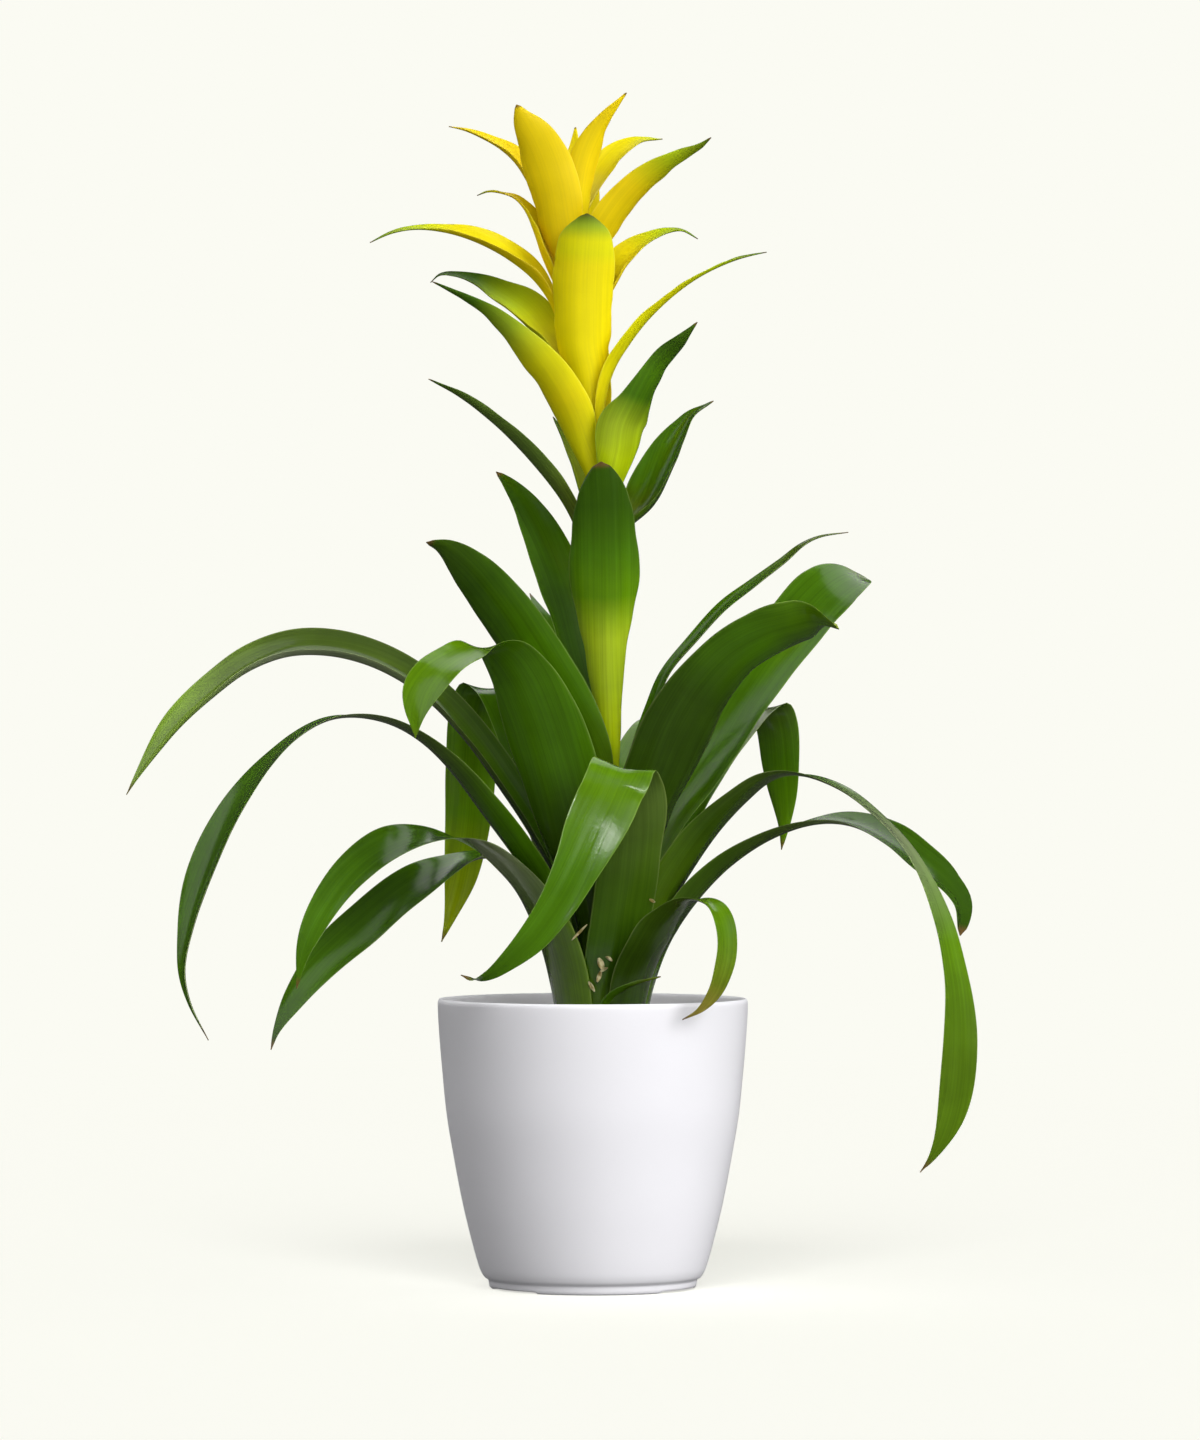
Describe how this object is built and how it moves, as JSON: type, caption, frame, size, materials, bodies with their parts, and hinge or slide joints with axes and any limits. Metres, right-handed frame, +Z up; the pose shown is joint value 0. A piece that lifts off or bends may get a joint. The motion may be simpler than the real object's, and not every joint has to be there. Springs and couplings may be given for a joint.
{
  "type": "potted bromeliad",
  "caption": "Potted bromeliad with arching strap leaves, an upright flower stalk whose bracts turn from green to yellow, and a tapered round plastic pot.",
  "frame": {"origin": "middle of the pot's flat underside, on the surface that it stands on", "axes": "+Z up; -Y towards the side that the picture looks at; +X to the picture's right"},
  "size_m": [0.427, 0.2501, 0.5964],
  "materials": {
    "leaf": "glossy ribbed leaf",
    "green_bract": "glossy ribbed leaf, yellowing at its base",
    "yellow_bract": "satin lemon yellow leaf",
    "stem": "satin green stalk",
    "pot": "smooth satin white plastic",
    "potting_mix": "loose dark bark and peat"
  },
  "bodies": {
    "root": {"leaf_front_fold": "leaf", "leaf_front_low_right": "leaf", "leaf_left_low": "leaf", "leaf_left_drooping": "leaf", "leaf_left_long": "leaf", "leaf_left_high": "leaf", "leaf_left_back": "leaf", "leaf_left_fold": "leaf", "leaf_right_slim": "leaf", "leaf_right_broad": "leaf", "leaf_right_behind": "leaf", "leaf_right_back": "leaf", "leaf_right_long": "leaf", "leaf_right_low": "leaf", "leaf_thin_front": "leaf", "leaf_back_left": "leaf", "leaf_back_right": "leaf", "leaf_back_low": "leaf", "bract_green_left_broad": "green_bract", "bract_green_left_behind": "green_bract", "bract_green_back_sliver": "green_bract", "bract_green_back_broad": "green_bract", "bract_green_front": "green_bract", "bract_green_left_slim": "green_bract", "bract_green_right": "green_bract", "bract_green_right_front": "green_bract", "bract_back_low": "yellow_bract", "bract_left_front": "yellow_bract", "bract_right_long": "yellow_bract", "bract_front": "yellow_bract", "bract_back_mid": "yellow_bract", "bract_left_behind": "yellow_bract", "bract_left_long": "yellow_bract", "bract_right_small": "yellow_bract", "bract_left_small": "yellow_bract", "bract_back_high": "yellow_bract", "bract_right_big": "yellow_bract", "bract_top_left": "yellow_bract", "bract_left_high": "yellow_bract", "bract_top_right": "yellow_bract", "bract_right_high": "yellow_bract", "bract_back_top": "yellow_bract", "bract_crown_left": "yellow_bract", "bract_crown_right": "yellow_bract", "stem": "stem", "pot": "pot", "potting_mix": "potting_mix"}
  },
  "joints": []
}
